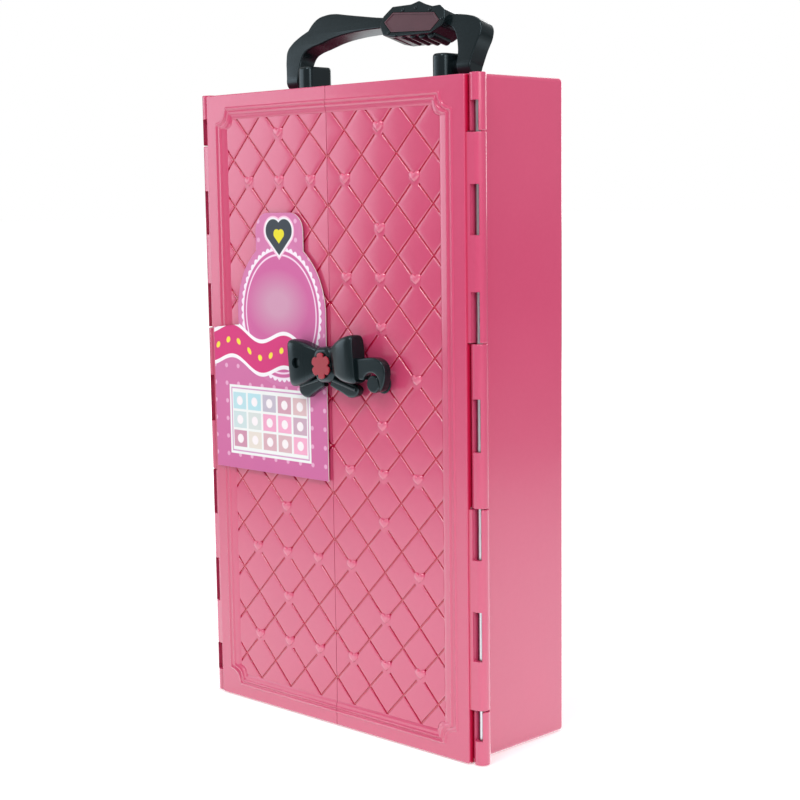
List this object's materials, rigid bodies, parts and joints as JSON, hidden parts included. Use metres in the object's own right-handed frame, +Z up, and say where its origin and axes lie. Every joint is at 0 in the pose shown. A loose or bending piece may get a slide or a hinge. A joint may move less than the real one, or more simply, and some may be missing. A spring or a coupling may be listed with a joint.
{
  "type": "doll wardrobe trunk",
  "caption": "Upright toy trunk with quilted swing doors on pin hinges, a folding handle, a bow clasp, and shelves, a hanging rail and door fittings inside.",
  "frame": {"origin": "centre of the trunk's underside: half way between the case's sides, and half way between the doors' front and the case's back", "axes": "+X to the right seen from the front, -Y the way the doors face, +Z up along the hinges"},
  "size_m": [0.188, 0.0801, 0.3459],
  "materials": {
    "pink_plastic": "moulded satin gloss",
    "black_plastic": "moulded gloss",
    "steel_wire": "drawn wire",
    "plum_plastic": "moulded gloss",
    "coral_plastic": "moulded gloss",
    "mirror_film": "polished silvered plastic",
    "printed_card": "coated printed card"
  },
  "bodies": {
    "case": {"case_shell": "pink_plastic", "left_hinge_pin": "steel_wire", "right_hinge_pin": "steel_wire", "cubby_divider": "pink_plastic", "cubby_shelf_1": "pink_plastic", "cubby_shelf_2": "pink_plastic", "cubby_shelf_3": "pink_plastic", "cubby_shelf_4": "pink_plastic", "shoe_shelf_1": "pink_plastic", "shoe_shelf_2": "pink_plastic", "rail_socket_left": "pink_plastic", "rail_socket_right": "pink_plastic", "clothes_rail": "black_plastic", "handle_boss_left": "black_plastic", "handle_boss_right": "black_plastic", "handle_pivot_pin_left": "black_plastic", "handle_pivot_pin_right": "black_plastic", "boss_screw_1": "steel_wire", "boss_screw_2": "steel_wire", "boss_screw_3": "steel_wire", "boss_screw_4": "steel_wire"},
    "left_door": {"left_door": "pink_plastic", "left_door_hook_strip": "pink_plastic", "left_door_tray_1": "pink_plastic", "left_door_tray_2": "pink_plastic", "clasp_pivot_pin": "black_plastic", "label_card": "printed_card"},
    "right_door": {"right_door": "pink_plastic", "right_door_tray_1": "pink_plastic", "right_door_tray_2": "pink_plastic", "mirror_frame": "pink_plastic", "mirror_glass": "mirror_film", "catch_peg": "black_plastic"},
    "clasp": {"bow_clasp": "black_plastic", "clasp_flower": "coral_plastic"},
    "handle": {"handle_grip": "black_plastic", "handle_plate": "plum_plastic"}
  },
  "joints": [
    {"name": "left_door_hinge", "type": "hinge", "parent": "case", "child": "left_door", "pos_m": [-0.09027, -0.02932, 0.154], "axis": [0, 0, -1], "range_deg": [0, 180]},
    {"name": "right_door_hinge", "type": "hinge", "parent": "case", "child": "right_door", "pos_m": [0.09027, -0.02932, 0.154], "axis": [0, 0, 1], "range_deg": [0, 180]},
    {"name": "clasp_pivot", "type": "hinge", "parent": "left_door", "child": "clasp", "pos_m": [-0.0122, -0.04, 0.1782], "axis": [0, -1, 0], "range_deg": [0, 80]},
    {"name": "handle_pivot", "type": "hinge", "parent": "case", "child": "handle", "pos_m": [0, 0.0019, 0.314], "axis": [1, 0, 0], "range_deg": [-64, 91]}
  ],
  "couplings": [
    {"joint": "right_door_hinge", "follows": "left_door_hinge", "ratio": 1}
  ]
}
